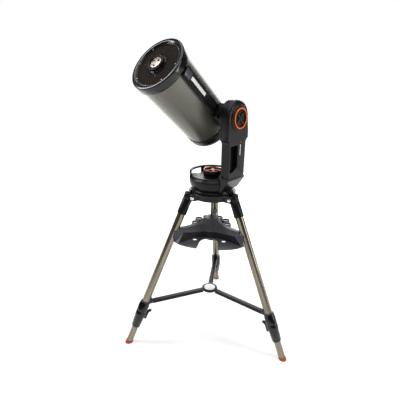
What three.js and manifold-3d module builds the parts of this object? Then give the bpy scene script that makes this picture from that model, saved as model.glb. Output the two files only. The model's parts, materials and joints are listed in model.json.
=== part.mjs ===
// Schmidt-Cassegrain telescope on a motorised single-arm mount and a folding-leg tripod.
// Millimetres, +Z up, standing on z = 0. Everything is built about the azimuth axis, with the
// fork arm towards +X and the tube looking towards -Y, and the whole is centred over its
// footprint on the last lines.
import * as THREE from 'three';
import { mergeVertices } from 'three/addons/utils/BufferGeometryUtils.js';
import Module from 'manifold-3d';

const wasm = await Module();
wasm.setup();

// ---------- driving dimensions ----------
const GAP = 0.3;                                  // clearance kept between touching pieces

// tripod
const LEG_COUNT = 3;
const LEG_TURN = THREE.MathUtils.degToRad(3.5);   // first leg, from the arm's direction
const FOOT_CIRCLE = 450;                          // foot centres from the azimuth axis
const LEG_TILT = Math.atan2(315, 733);            // leg axis from the vertical
const LEG_TUBE_R = 19;
const LEG_TUBE_WALL = 2;
const INNER_TUBE_R = 16;
const INNER_TUBE_WALL = 1.5;
const INNER_TUBE_TOP = 380;
const CLAMP_BOTTOM = 98;
const CLAMP_SHOULDER = 200;                       // where the leg tube stands in the clamp
const CLAMP_TOP = 246;
const SLEEVE_BOTTOM = 735;
const SLEEVE_SEAT = 800;                          // where the leg tube ends in the sleeve
const SLEEVE_TOP = 849;
const SLEEVE_R = 23;
const PIVOT = { radius: 119, height: 757 };       // leg pivot, from the axis and the floor
const HUB_TOP = 224;
const HUB_R = 41;
const STRUT_END = 318;
const HEAD_TOP = 780;
const HEAD_R = 115;
const ROD_R = 5;
const TRAY_DOME = 636;
const TRAY_SKIRT = 580;
const TRAY_SHELF = 552;
const TRAY_WALL = 5;
const TRAY_STEP = 4;
const DOME_R = 34;
const TRAY_NUT = [517, 545];
const REST = { radius: 80, spread: 36, outer: 20, dish: 15.5, bottom: 556, floor: 602.5, top: 606 };

// mount
const BASE_BOTTOM = 795;
const DECK = 856;
const COVER_BOTTOM = 868;
const DRUM_R = 102;
const RIM = 830;                                  // the lower shelf behind the deck
const ARM_IN = 92;                                // arm faces, from the azimuth axis
const ARM_OUT = 137;
const ARM_HALF = 58;                              // half the column's width
const HEAD_IN = 85;
const BLOCK_HALF = 75;                            // half the width of the block round the axis
const BLOCK_FROM = 1028;
const SPLIT = 104;                                // joint face between casting and cover
const ALTITUDE = 1131;                            // height of the altitude axis
const KNOB_R = 45;

// optical tube, along its own axis from the altitude axis, front positive
const TUBE_X = -89;
const TUBE_ANGLE = THREE.MathUtils.degToRad(39.1);
const TUBE_R = 116;
const TUBE_WALL = 2;
const CELL_BACK = -117;
const CELL_FRONT = -58.5;
const BEZEL_BACK = 300;
const FACE = 338.6;
const BEZEL_R = 125.5;
const APERTURE_R = 104.6;

// ---------- finishes ----------
const finish = (color, roughness, metalness) =>
  new THREE.MeshStandardMaterial({ color, roughness, metalness });
const blackPlastic = finish(0x2a2b2d, 0.5, 0);
const blackPaint = finish(0x222326, 0.4, 0.2);
const greyPlastic = finish(0x55565c, 0.55, 0);
const champagneSteel = finish(0xa39a82, 0.3, 1);
const tubePaint = finish(0x8c8a84, 0.35, 0.8);
const orangePlastic = finish(0xe05a14, 0.45, 0);
const rubber = finish(0xc85020, 0.8, 0);
const steel = finish(0xb8b8b8, 0.3, 1);
const brass = finish(0xb08a3c, 0.35, 1);
const glass = finish(0x607070, 0.05, 0);
const mirrorCoat = finish(0xf0f0f0, 0.02, 1);

// ---------- shape helpers ----------
function closed(geometry) {
  // corners merged, slivers dropped, faces turned outwards
  if (geometry.userData.closed) return geometry;
  const bare = geometry.clone();
  for (const name of Object.keys(bare.attributes)) {
    if (name !== 'position') bare.deleteAttribute(name);
  }
  const merged = mergeVertices(bare, 1e-4);
  const corners = merged.index.array;
  const place = merged.attributes.position;
  const point = (i) => new THREE.Vector3().fromBufferAttribute(place, i);
  const kept = [];
  let volume = 0;
  for (let i = 0; i < corners.length; i += 3) {
    const [a, b, c] = corners.slice(i, i + 3);
    if (a === b || b === c || c === a) continue;
    kept.push(a, b, c);
    volume += point(a).dot(point(b).cross(point(c)));
  }
  if (volume < 0) kept.reverse();
  merged.setIndex(kept);
  merged.userData.closed = true;
  return merged;
}

function solid(geometry) {
  const shape = closed(geometry);
  return new wasm.Manifold(new wasm.Mesh({
    numProp: 3,
    vertProperties: new Float32Array(shape.attributes.position.array),
    triVerts: new Uint32Array(shape.index.array),
  }));
}

function carve(added, removed = []) {
  // the first list joined into one body, less everything in the second
  let body = added.map(solid).reduce((whole, piece) => whole.add(piece));
  for (const piece of removed) body = body.subtract(solid(piece));
  const mesh = body.getMesh();
  const geometry = new THREE.BufferGeometry();
  geometry.setAttribute('position', new THREE.BufferAttribute(mesh.vertProperties, 3));
  geometry.setIndex(new THREE.BufferAttribute(mesh.triVerts, 1));
  geometry.userData.closed = true;
  return geometry;
}

function turned(profile, sides = 18) {
  // [radius, height] corners swept about +Z; a profile off the axis closes on itself
  const onAxis = profile[0][0] === 0 && profile.at(-1)[0] === 0;
  const outline = onAxis ? profile : [...profile, profile[0]];
  const points = outline.map(([r, z]) => new THREE.Vector2(r, z));
  return new THREE.LatheGeometry(points, sides).rotateX(Math.PI / 2);
}

const rod = (r, from, to, sides = 16) => turned([[0, from], [r, from], [r, to], [0, to]], sides);
const pipe = (outer, inner, from, to, sides = 18) =>
  turned([[inner, from], [outer, from], [outer, to], [inner, to]], sides);
const rodX = (r, from, to, sides = 16) => rod(r, from, to, sides).rotateY(Math.PI / 2);
const rodY = (r, from, to, sides = 16) => rod(r, from, to, sides).rotateX(-Math.PI / 2);

function block(x, y, z) {
  const box = new THREE.BoxGeometry(x[1] - x[0], y[1] - y[0], z[1] - z[0]);
  return box.translate((x[0] + x[1]) / 2, (y[0] + y[1]) / 2, (z[0] + z[1]) / 2);
}

function outline(points) {
  return new THREE.Shape(points.map(([x, y]) => new THREE.Vector2(x, y)));
}

function slab(shape, from, to, curveSegments = 16) {
  const options = { depth: to - from, bevelEnabled: false, curveSegments };
  return new THREE.ExtrudeGeometry(shape, options).translate(0, 0, from);
}

function slabX(shape, from, to, curveSegments = 16) {
  // an outline drawn in Y and Z, run along X
  const turn = new THREE.Matrix4().makeBasis(
    new THREE.Vector3(0, 1, 0), new THREE.Vector3(0, 0, 1), new THREE.Vector3(1, 0, 0));
  return slab(shape, from, to, curveSegments).applyMatrix4(turn);
}

function slabY(shape, from, to, curveSegments = 16) {
  // an outline drawn in X and Z, run along Y
  return slab(shape, -to, -from, curveSegments).rotateX(Math.PI / 2);
}

function gear(teeth, rootR, tipR, boreR, from, to) {
  const points = [];
  for (let i = 0; i < teeth; i += 1) {
    for (const [share, r] of [[0, rootR], [0.35, rootR], [0.5, tipR], [0.85, tipR]]) {
      const angle = ((i + share) / teeth) * 2 * Math.PI;
      points.push([r * Math.cos(angle), r * Math.sin(angle)]);
    }
  }
  const shape = outline(points);
  shape.holes.push(new THREE.Path().absarc(0, 0, boreR, 0, 2 * Math.PI, true));
  return slab(shape, from, to, 12);
}

const telescope = new THREE.Group();

function node(name, geometry, material, parent = telescope) {
  const mesh = new THREE.Mesh(closed(geometry), material);
  mesh.name = name;
  parent.add(mesh);
}

// ---------- tripod legs ----------
// each leg is drawn upright on its foot centre and leans inwards by LEG_TILT
const upright = (geometry) => geometry.rotateY(LEG_TILT);
const legRadius = (height) => FOOT_CIRCLE - height * Math.tan(LEG_TILT);

function foot() {
  const cup = turned([[0, -10], [19, -10], [19, 15], [17.5, 18], [16.4, 18], [16.4, 6], [0, 6]]);
  const floor = upright(block([-60, 60], [-60, 60], [-60, 0]));
  return carve([cup], [floor]);
}

function legClamp() {
  // stepped collar; its boss, square to the floor, takes the spreader strut
  const collar = turned([
    [0, CLAMP_BOTTOM], [19, CLAMP_BOTTOM], [22, 104], [24, 158], [26.5, 170],
    [26.5, 236], [24, CLAMP_TOP], [0, CLAMP_TOP],
  ]);
  const boss = upright(
    block([STRUT_END + GAP - FOOT_CIRCLE, 350 - FOOT_CIRCLE], [-14, 14], [210, 236]));
  const ears = [-1, 1].map((side) => block([-36, -20], [side * 8 - 2.5, side * 8 + 2.5], [150, 172]));
  const bores = [
    rod(LEG_TUBE_R + GAP, CLAMP_SHOULDER - GAP, CLAMP_TOP + 20, 18),
    rod(INNER_TUBE_R + GAP, CLAMP_BOTTOM - 5, CLAMP_TOP, 18),
  ];
  return carve([collar, boss, ...ears], bores);
}

function legLever() {
  // a flat hook between the clamp's ears: pivot eye, straight arm and curled tip
  const side = outline([
    [-34, 154], [-28.5, 154], [-27.8, 166], [-30, 176], [-34, 190], [-41, 199], [-49, 203],
    [-50, 199.5], [-44, 194], [-39, 186], [-36, 174], [-34.5, 164],
  ]);
  return slabY(side, -5.1, 5.1);
}

function legSleeve() {
  const cap = turned([
    [0, SLEEVE_BOTTOM], [SLEEVE_R, SLEEVE_BOTTOM], [SLEEVE_R, SLEEVE_TOP - 9],
    [SLEEVE_R - 4, SLEEVE_TOP - 2], [SLEEVE_R - 10, SLEEVE_TOP], [0, SLEEVE_TOP],
  ]);
  const socket = rod(LEG_TUBE_R + GAP, SLEEVE_BOTTOM - 5, SLEEVE_SEAT + GAP, 18);
  const headPlane = upright(block([-420, -200], [-60, 60], [HEAD_TOP - 0.5, HEAD_TOP + 60]));
  const pivot = upright(
    rodY(5 + GAP, -60, 60, 10).translate(PIVOT.radius - FOOT_CIRCLE, 0, PIVOT.height));
  return carve([cap], [socket, headPlane, pivot]);
}

function pivotBolt() {
  return turned([
    [0, -39], [9, -39], [9, -33.5], [5, -33.5], [5, 33.5], [9, 33.5], [9, 39], [0, 39],
  ], 10).rotateX(-Math.PI / 2)
    .translate(PIVOT.radius, 0, PIVOT.height);
}

const legAngles = Array.from({ length: LEG_COUNT }, (_, i) => LEG_TURN + (i * 2 * Math.PI) / LEG_COUNT);

legAngles.forEach((angle, i) => {
  const turn = new THREE.Group();
  turn.rotation.z = angle;
  telescope.add(turn);
  const lean = new THREE.Group();
  lean.position.x = FOOT_CIRCLE;
  lean.rotation.y = -LEG_TILT;
  turn.add(lean);
  const number = i + 1;
  node(`foot_${number}`, foot(), rubber, lean);
  node(`leg_inner_tube_${number}`,
    pipe(INNER_TUBE_R, INNER_TUBE_R - INNER_TUBE_WALL, 6 + GAP, INNER_TUBE_TOP, 16), champagneSteel, lean);
  node(`leg_clamp_${number}`, legClamp(), blackPlastic, lean);
  node(`leg_lever_${number}`, legLever(), blackPlastic, lean);
  node(`leg_tube_${number}`,
    pipe(LEG_TUBE_R, LEG_TUBE_R - LEG_TUBE_WALL, CLAMP_SHOULDER, SLEEVE_SEAT), champagneSteel, lean);
  node(`leg_sleeve_${number}`, legSleeve(), blackPlastic, lean);
  node(`leg_pivot_bolt_${number}`, pivotBolt(), steel, turn);
  node(`spreader_strut_${number}`,
    block([HUB_R + GAP, STRUT_END], [-12, 12], [HUB_TOP - 15, HUB_TOP + 1]), blackPaint, turn);
});

// ---------- spreader hub, head, centre rod, tray ----------
node('spreader_hub', turned([
  [0, HUB_TOP - 12], [HUB_R - 3, HUB_TOP - 12], [HUB_R, HUB_TOP - 9], [HUB_R, HUB_TOP - 2],
  [HUB_R - 2, HUB_TOP], [0, HUB_TOP],
], 24), blackPlastic);

function tripodHead() {
  const drum = turned([
    [0, 728], [24, 728], [30, 744], [96, 744], [98, 762], [98, 771], [HEAD_R, 771],
    [HEAD_R, HEAD_TOP - 1], [HEAD_R - 1, HEAD_TOP], [0, HEAD_TOP],
  ], 36);
  const lugs = [];
  const cuts = [rod(ROD_R + GAP, 700, 765, 16)];
  for (const angle of legAngles) {
    for (const side of [-1, 1]) {
      const ear = block([84, 130], [side * 28.5 - 4.5, side * 28.5 + 4.5], [742, 775]);
      lugs.push(ear.rotateZ(angle));
    }
    const slot = block([72, 160], [-SLEEVE_R - 0.8, SLEEVE_R + 0.8], [700, 800]);
    cuts.push(slot.rotateZ(angle));
    const hole = rodY(5 + GAP, -60, 60, 10).translate(PIVOT.radius, 0, PIVOT.height);
    cuts.push(hole.rotateZ(angle));
  }
  return carve([drum, ...lugs], cuts);
}
node('tripod_head', tripodHead(), blackPaint);
node('centre_rod', rod(ROD_R, TRAY_NUT[0] - 12, 764, 16), steel);

function trayKnob() {
  // ribbed hand wheel on the centre rod, pressing the tray up
  const shape = new THREE.Shape();
  const ribs = 12;
  for (let i = 0; i < ribs * 2; i += 1) {
    const angle = (i / (ribs * 2)) * 2 * Math.PI;
    const r = i % 2 ? 27 : 31;
    shape[i ? 'lineTo' : 'moveTo'](r * Math.cos(angle), r * Math.sin(angle));
  }
  shape.closePath();
  shape.holes.push(new THREE.Path().absarc(0, 0, ROD_R + GAP, 0, 2 * Math.PI, true));
  return slab(shape, ...TRAY_NUT, 8);
}
node('tray_knob', trayKnob(), blackPlastic);

// The tray is a hub dome with three ridges out to the legs. Between two ridges a skirt slopes down to a
// step. In the front sector a wide shelf with a bay lies below the step, and in the two back sectors a
// narrow one carries three round eyepiece rests. An offset is an angle from the middle of a sector, in degrees.
const ease = THREE.MathUtils.smoothstep;
const mix = THREE.MathUtils.lerp;
const frontRim = (offset) => mix(190, 212, ease(offset, 10, 50));
const backRim = (offset) => mix(92, 206, ease(offset, 46, 58));
const skirtEdge = (offset, rim) => Math.min(66 + 84 * (offset / 47) ** 6, rim - 6);
const ridgeHeight = (r) => 603 + (TRAY_DOME - 603) * Math.exp(-Math.max(0, r - DOME_R) / 24);
const rimHeight = (r, offset) => mix(TRAY_SHELF, ridgeHeight(r), ease(offset, 54, 60));

function skirtHeight(r, offset, edge) {
  const share = Math.min(1, (r - DOME_R) / (edge - DOME_R));
  const slope = TRAY_SKIRT + (TRAY_DOME - TRAY_SKIRT) * (1 - share) ** 1.15;
  const crease = offset < 1 ? 2 : 0;
  return mix(slope + crease, ridgeHeight(r), ease(offset, 40, 60));
}

function trayRings(offset, front, under) {
  // radius and height of each ring on one spoke; the underside steps down a little nearer the middle
  const rim = front ? frontRim(offset) : backRim(offset);
  const edge = skirtEdge(offset, rim);
  const edgeHeight = skirtHeight(edge, offset, edge);
  const shelfHeight = mix(TRAY_SHELF, edgeHeight, ease(offset, 43, 48));
  const inset = under ? TRAY_STEP : 0;
  const drop = under ? TRAY_WALL : 0;
  const sloped = [0.16, 0.4, 0.72].map((share) => mix(DOME_R, edge, share));
  return [
    [10, TRAY_DOME], [DOME_R, TRAY_DOME],
    ...sloped.map((r) => [r, skirtHeight(r, offset, edge)]),
    [edge - inset, edgeHeight],
    [edge + TRAY_STEP - inset, shelfHeight],
    [rim, rimHeight(rim, offset)],
  ].map(([r, z]) => [r, z - drop]);
}

function trayShell() {
  // a moulded sheet: the same surface above and below, joined at the rim and round the rod
  const spokes = 60;
  const rings = trayRings(0, true, false).length;
  const positions = [];
  const index = [];
  for (const under of [false, true]) {
    const spokeRings = Array.from({ length: spokes }, (_, j) => {
      const angle = (j * 360) / spokes;
      return trayRings(Math.abs((angle % 120) - 60), angle > 240, under);
    });
    for (let k = 0; k < rings; k += 1) {
      spokeRings.forEach((line, j) => {
        const angle = (j / spokes) * 2 * Math.PI;
        const [r, z] = line[k];
        positions.push(r * Math.cos(angle), r * Math.sin(angle), z);
      });
    }
  }
  const at = (layer, ring, spoke) => (layer * rings + ring) * spokes + (spoke % spokes);
  const quad = (a, b, c, d) => index.push(a, b, c, a, c, d);
  for (let j = 0; j < spokes; j += 1) {
    for (let k = 0; k + 1 < rings; k += 1) {
      quad(at(0, k, j), at(0, k + 1, j), at(0, k + 1, j + 1), at(0, k, j + 1));
      quad(at(1, k, j), at(1, k, j + 1), at(1, k + 1, j + 1), at(1, k + 1, j));
    }
    const last = rings - 1;
    quad(at(0, last, j), at(1, last, j), at(1, last, j + 1), at(0, last, j + 1));
    quad(at(0, 0, j), at(0, 0, j + 1), at(1, 0, j + 1), at(1, 0, j));
  }
  const geometry = new THREE.BufferGeometry();
  geometry.setAttribute('position', new THREE.Float32BufferAttribute(positions, 3));
  geometry.setIndex(index);
  return geometry;
}

function accessoryTray() {
  // drawn with a leg along +X, then turned with the legs
  const cuts = [rod(ROD_R + 1.5, TRAY_NUT[1] - 5, TRAY_DOME + 5, 16)];
  const rests = [];
  const lean = LEG_TUBE_R + 2;
  for (let i = 0; i < LEG_COUNT; i += 1) {
    const legAngle = (i * 2 * Math.PI) / LEG_COUNT;
    const reach = legRadius(615) - 1;
    const notch = new THREE.Shape();
    notch.moveTo(reach + 90, -lean - 14);
    notch.lineTo(reach, -lean);
    notch.absarc(reach, 0, lean, -Math.PI / 2, Math.PI / 2, true);
    notch.lineTo(reach + 90, lean + 14);
    cuts.push(slab(notch, 500, 700, 8).rotateZ(legAngle));
    const sector = legAngle + Math.PI / LEG_COUNT;
    if (i < 2) {
      for (const turn of [-REST.spread, 0, REST.spread]) {
        const angle = sector + THREE.MathUtils.degToRad(turn);
        const place = (shape) => shape.translate(REST.radius, 0, 0).rotateZ(angle);
        rests.push(place(rod(REST.outer, REST.bottom, REST.top, 12)));
        cuts.push(place(rod(REST.dish, REST.floor, REST.top + 30, 12)));
      }
      continue;
    }
    const bay = new THREE.Shape();
    bay.moveTo(240, -54);
    bay.lineTo(120, -44);
    bay.quadraticCurveTo(76, -40, 76, 0);
    bay.quadraticCurveTo(76, 40, 120, 44);
    bay.lineTo(240, 54);
    cuts.push(slab(bay, 500, 700, 5).rotateZ(sector));
    for (const across of [-70, 70]) {
      cuts.push(rod(11, 500, 700, 16).translate(97, across, 0).rotateZ(sector));
    }
  }
  const boss = rod(15, TRAY_NUT[1] + 1, TRAY_DOME + 1.5, 16);
  return carve([trayShell(), boss, ...rests], cuts).rotateZ(LEG_TURN);
}
node('accessory_tray', accessoryTray(), greyPlastic);

// ---------- azimuth base ----------
node('base_flange', turned([
  [0, HEAD_TOP + GAP], [103, HEAD_TOP + GAP], [103, 788], [99, BASE_BOTTOM - GAP - 1],
  [22, BASE_BOTTOM - GAP - 1], [20, 840], [0, 840],
], 36), blackPaint);
node('azimuth_wheel', gear(20, 52, 56, 22.8, 802, 814), brass);

const handleArc = [45, 222].map(THREE.MathUtils.degToRad);
const HANDLE_IN = 101;
const HANDLE_OUT = 111;

// the bowl's outline from the axis, out and up to the deck's shoulder
const SHOULDER = 852;
const bowlProfile = [
  [0, BASE_BOTTOM], [99, BASE_BOTTOM], [107, 806], [112, 822], [113, 832], [112, 842],
  [DRUM_R + 1, SHOULDER], [0, SHOULDER],
];

function baseHousing() {
  const bowl = turned(bowlProfile, 36);
  const deck = rod(DRUM_R, RIM - 2, DECK, 36);
  const behind = new THREE.Shape();
  behind.moveTo(150, 64);
  behind.lineTo(40, 56);
  behind.absarc(0, 0, 68, Math.atan2(56, 40), THREE.MathUtils.degToRad(205), false);
  behind.lineTo(-160, -74);
  behind.lineTo(-160, 160);
  behind.lineTo(150, 160);
  const cavity = turned([[0, BASE_BOTTOM - 5], [95, BASE_BOTTOM - 5], [102, 808], [106, 822], [0, 822]], 24);
  const upperCavity = rod(62, 800, DECK - 5, 24);
  return carve([bowl, deck], [
    slab(behind, RIM, DECK + 5),
    cavity,
    upperCavity,
    rod(9, 800, DECK + 5, 20),
    block([ARM_IN - GAP, 140], [-130, 130], [780, 870]),
  ]);
}
node('base_housing', baseHousing(), blackPlastic);

function carryHandle() {
  const [from, to] = handleArc;
  const shape = new THREE.Shape();
  shape.absarc(0, 0, HANDLE_OUT, from, to, false);
  shape.absarc(0, 0, HANDLE_IN, to, from, true);
  const bar = slab(shape, 867, 876, 14);
  const posts = [48, 100, 158, 219].map((degrees) => {
    const post = block([HANDLE_IN + 0.5, HANDLE_OUT - 0.5], [-9, 9], [RIM + GAP, 870]);
    return post.rotateZ(THREE.MathUtils.degToRad(degrees));
  });
  // the last post stands on the bowl's shoulder, and the others on the shelf behind it
  const standing = carve([posts.pop()], [turned(bowlProfile.map(([r, z]) => [r && r + 1, z + GAP]), 36)]);
  return carve([bar, ...posts, standing], [rod(DRUM_R + GAP, 800, DECK + GAP, 36)]);
}
node('carry_handle', carryHandle(), blackPlastic);

// drive parts under the deck
node('azimuth_worm_motor',
  carve([rodY(7, -24, 24, 12), rodY(12, 23, 58, 20)]).translate(63.5, 0, 808), steel);
node('battery_pack', block([-42, 42], [-43, -23], [824, 848]), blackPlastic);

// ---------- knobs with an orange ring: collar, cap and ring about +Z ----------
function clutchKnob(stemFrom, underside, top) {
  // heights are from the face that the knob turns on
  return turned([
    [0, stemFrom], [7, stemFrom], [7, underside], [KNOB_R, underside], [KNOB_R, top - 10],
    [KNOB_R + 1, top - 5], [KNOB_R - 0.6, top - 1], [42.6, top], [40.5, top], [38.6, top - 2],
    [38, top - 8], [12, top - 8], [10, top - 5], [0, top - 5],
  ], 28);
}
const KNOB_RISE = 26;
const ALTITUDE_KNOB_RISE = 11.5;
const toArmFace = (geometry) => geometry.rotateY(Math.PI / 2).translate(ARM_OUT, 0, ALTITUDE);
node('azimuth_knob', clutchKnob(-12, GAP, KNOB_RISE).translate(0, 0, DECK), blackPlastic);
node('altitude_knob', toArmFace(clutchKnob(-14.5, GAP, ALTITUDE_KNOB_RISE)), blackPlastic);

// ---------- fork arm ----------
function armOutline(inset = 0) {
  // column, wider block and round head, drawn in Y and Z
  const column = ARM_HALF - inset;
  const wide = BLOCK_HALF - inset;
  const shape = new THREE.Shape();
  shape.moveTo(-column, COVER_BOTTOM + inset);
  shape.lineTo(column, COVER_BOTTOM + inset);
  shape.lineTo(column, BLOCK_FROM - 8);
  shape.quadraticCurveTo(column + 1, BLOCK_FROM + 4, wide, BLOCK_FROM + 14 + inset / 2);
  shape.lineTo(wide, ALTITUDE);
  shape.absarc(0, ALTITUDE, wide, 0, Math.PI, false);
  shape.lineTo(-wide, BLOCK_FROM + 14 + inset / 2);
  shape.quadraticCurveTo(-column - 1, BLOCK_FROM + 4, -column, BLOCK_FROM - 8);
  return shape;
}

function forkArm() {
  // the inner casting: column plate, thicker head and the foot that bolts to the base
  const plate = slabX(armOutline(), ARM_IN, SPLIT - GAP, 20);
  const head = rodX(BLOCK_HALF - 1, HEAD_IN, ARM_IN + 2, 36).translate(0, 0, ALTITUDE);
  const footShape = outline([
    [ARM_IN, 800], [ARM_IN + 6, 801], [ARM_OUT - 1, 857], [ARM_OUT - 1, COVER_BOTTOM - 2],
    [SPLIT - GAP, COVER_BOTTOM - GAP], [SPLIT - GAP, 880], [ARM_IN, 880],
  ]);
  const armFoot = slabY(footShape, -62, 66);
  const cheekSide = outline([[74, DECK + GAP], [ARM_IN + 2, DECK + GAP], [ARM_IN + 2, 890], [84, 876]]);
  const cheek = slabY(cheekSide, -58, 60);
  return carve([plate, head, armFoot, cheek], [
    rodX(14 + GAP, HEAD_IN - 5, ARM_IN + 60, 16).translate(0, 0, ALTITUDE),
    turned([[0, 780], [60, 780], [60, 900], [0, 900]], 28),
  ]);
}
node('fork_arm', forkArm(), blackPaint);

const POCKET = { y: [-52, 2], floor: 112, top: 1014 };

function pocketOutline(grow = 0) {
  const [front, back] = POCKET.y;
  const shape = new THREE.Shape();
  shape.moveTo(front - grow, 894 - grow);
  shape.quadraticCurveTo(-22, 896 - grow, back + grow, 916 - grow);
  shape.lineTo(back + grow, POCKET.top + grow);
  shape.lineTo(front - grow, POCKET.top + grow);
  return shape;
}

function armCover() {
  const skin = slabX(armOutline(), SPLIT, ARM_OUT, 20);
  const cavity = slabX(armOutline(4), SPLIT - 5, ARM_OUT - 4, 20);
  const pocketWall = slabX(pocketOutline(3), POCKET.floor - 3, ARM_OUT - 1, 6);
  const hollow = carve([cavity], [pocketWall]);
  const collar = toArmFace(turned([
    [KNOB_R + 1.6, -2], [58, -2], [57, 2.5], [54, 6], [KNOB_R + 1.6, 6],
  ], 28));
  return carve([skin, collar], [
    hollow,
    slabX(pocketOutline(), POCKET.floor, ARM_OUT + 10, 6),
    rodX(9, SPLIT, ARM_OUT + 10, 20).translate(0, 0, ALTITUDE),
  ]);
}
node('arm_cover', armCover(), blackPlastic);
node('status_light', rodX(2.6, ARM_OUT + GAP, ARM_OUT + 1.5, 12).translate(0, 19, 1026), orangePlastic);

// altitude drive inside the arm
node('altitude_wheel', gear(16, 40, 43, 14.6, 0, 10).rotateY(Math.PI / 2)
  .translate(SPLIT + 7, 0, ALTITUDE), brass);
node('altitude_worm_motor', carve([rodY(6, -22, 24, 12), rodY(12.5, 23, 60, 20)])
  .translate(SPLIT + 13, 0, ALTITUDE - 50), steel);

// ---------- altitude body: shaft, saddle and optical tube ----------
// drawn along its own axis (+Z to the front, +X to the arm) and tipped up to TUBE_ANGLE
const tip = new THREE.Group();
tip.position.z = ALTITUDE;
tip.rotation.x = Math.PI / 2 - TUBE_ANGLE;
telescope.add(tip);
const alongTube = (geometry) => geometry.translate(TUBE_X, 0, 0);

const RAIL = [TUBE_X + 118.5, TUBE_X + TUBE_R + 15];
function altitudeShaft() {
  return carve([rodX(14, 63, SPLIT + 17.5), rodX(46, HEAD_IN - 11, HEAD_IN - 1, 20), rodX(24, 60.5, 76)]);
}
node('altitude_shaft', altitudeShaft(), steel, tip);

function saddle() {
  // two jaws and a back plate round the dovetail rail
  const plate = block([RAIL[1] + GAP, 60], [-36, 36], [-48, 48]);
  const fixedJaw = block([RAIL[0] + 5, RAIL[1] + 4], [-36, -24.5], [-48, 48]);
  const movingJaw = block([RAIL[0] + 5, RAIL[1] + 4], [24.5, 36], [-48, 48]);
  const lug = block([42.5, 57.5], [-46, -30], [-46, -26]);
  const clampHole = rodY(4 + GAP, -60, -10, 12).translate(50, 0, -36);
  return carve([plate, fixedJaw, movingJaw, lug], [clampHole]);
}
node('saddle', saddle(), blackPaint, tip);

function saddleKnob() {
  const profile = [[0, 0], [4, 0], [4, 34.5], [13, 34.5], [15, 37], [15, 49], [13, 51], [0, 51]];
  return turned(profile, 16).rotateX(Math.PI / 2).translate(50, -12, -36);
}
node('saddle_knob', saddleKnob(), blackPlastic, tip);

node('dovetail_rail', slab(outline([
  [RAIL[0], -18], [RAIL[1], -24], [RAIL[1], 24], [RAIL[0], 18],
]), -92, BEZEL_BACK - 1), blackPaint, tip);
node('optical_tube', alongTube(pipe(TUBE_R, TUBE_R - TUBE_WALL, CELL_FRONT + GAP, 312, 36)), tubePaint, tip);
node('front_bezel', alongTube(turned([
  [TUBE_R + GAP, BEZEL_BACK], [BEZEL_R - 2, BEZEL_BACK], [BEZEL_R, BEZEL_BACK + 3],
  [BEZEL_R, FACE - 5], [BEZEL_R - 4, FACE], [108, FACE], [APERTURE_R, FACE - 5],
  [APERTURE_R, 325 - GAP], [99, 325 - GAP], [99, 318], [TUBE_R + GAP, 313],
], 36)), blackPlastic, tip);
node('corrector_plate', alongTube(pipe(APERTURE_R - GAP, 36.5, 325, 331, 36)), glass, tip);
node('secondary_housing', alongTube(turned([
  [0, 314], [36, 314], [36, 331 + GAP], [41, 331 + GAP], [41, 334], [39, 335], [38, 345.5],
  [36.5, 347], [34.6, 347], [34, 343], [0, 343],
], 24)), blackPlastic, tip);
node('secondary_cover', alongTube(turned([
  [0, 343.3], [33.6, 343.3], [33.6, 344], [32, 345.4], [0, 345.8],
], 24)), steel, tip);
node('secondary_mirror', alongTube(turned([
  [0, 306], [20, 307.2], [28, 309], [28, 314 - GAP], [0, 314 - GAP],
], 20)), mirrorCoat, tip);
node('baffle_tube', alongTube(pipe(17.5, 15.5, CELL_BACK + 10, 190, 16)), blackPaint, tip);
node('primary_mirror', alongTube(turned([
  [22, -30], [103, -30], [103, -14], [62, -19], [22, -21],
], 30)), mirrorCoat, tip);
node('mirror_carrier', alongTube(turned([
  [18, -60], [21.5, -60], [21.5, -40], [70, -36], [70, -30 - GAP], [21.5, -30 - GAP], [21.5, -24], [18, -24],
], 20)), blackPaint, tip);
node('rear_cell', alongTube(turned([
  [16.2, CELL_BACK - 6], [44, CELL_BACK - 6], [48, CELL_BACK], [96, CELL_BACK], [110, CELL_BACK + 10],
  [118, CELL_BACK + 26], [118, CELL_FRONT], [112, CELL_FRONT], [112, CELL_BACK + 30],
  [100, CELL_BACK + 9], [16.2, CELL_BACK + 9],
], 36)), blackPlastic, tip);
node('focus_knob', turned([
  [0, CELL_BACK - 36], [12, CELL_BACK - 36], [14, CELL_BACK - 33], [14, CELL_BACK - 6], [0, CELL_BACK - 6],
], 20).translate(TUBE_X + 46, 64, 5.5), blackPlastic, tip);
node('visual_back', alongTube(turned([
  [16.2, CELL_BACK - 34], [20, CELL_BACK - 34], [20, CELL_BACK - 20], [25, CELL_BACK - 18],
  [25, CELL_BACK - 6 - GAP], [16.2, CELL_BACK - 6 - GAP],
], 20)), steel, tip);

function starDiagonal() {
  // nose in the visual back, prism box, and the eyepiece holder square to the tube
  const nose = rod(15.9, CELL_BACK - 40, CELL_BACK - 8);
  const side = outline([[-18, -157], [18, -157], [18, -166], [-9, -193], [-18, -193]]);
  const box = slabX(side, -17, 17);
  const holder = rodY(19, 10, 46, 28).translate(0, 0, -174);
  const cup = rodY(15.9, 20, 60, 28).translate(0, 0, -174);
  return alongTube(carve([nose, box, holder], [cup]));
}
node('star_diagonal', starDiagonal(), blackPlastic, tip);
node('eyepiece', alongTube(turned([
  [0, 22], [15.6, 22], [15.6, 46 + GAP], [21, 46 + GAP], [21, 66], [19, 84], [15, 90], [0, 90],
], 28).rotateX(-Math.PI / 2).translate(0, 0, -174)), blackPlastic, tip);

// ---------- centred over the footprint ----------
telescope.updateMatrixWorld(true);
const bounds = new THREE.Box3().setFromObject(telescope, true);
telescope.position.set(-(bounds.min.x + bounds.max.x) / 2, -(bounds.min.y + bounds.max.y) / 2, 0);

export default telescope;
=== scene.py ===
# %% [markdown]
# # A compound telescope on a single-arm mount and a tripod
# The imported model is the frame: it fixes every size, place and joint. This lesson keeps to it and
# makes the surface that the eye sees. First the frame is loaded and measured.
# %% Load the frame
import bmesh
import bpy
import json
import math
from mathutils import Matrix, Vector


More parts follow.
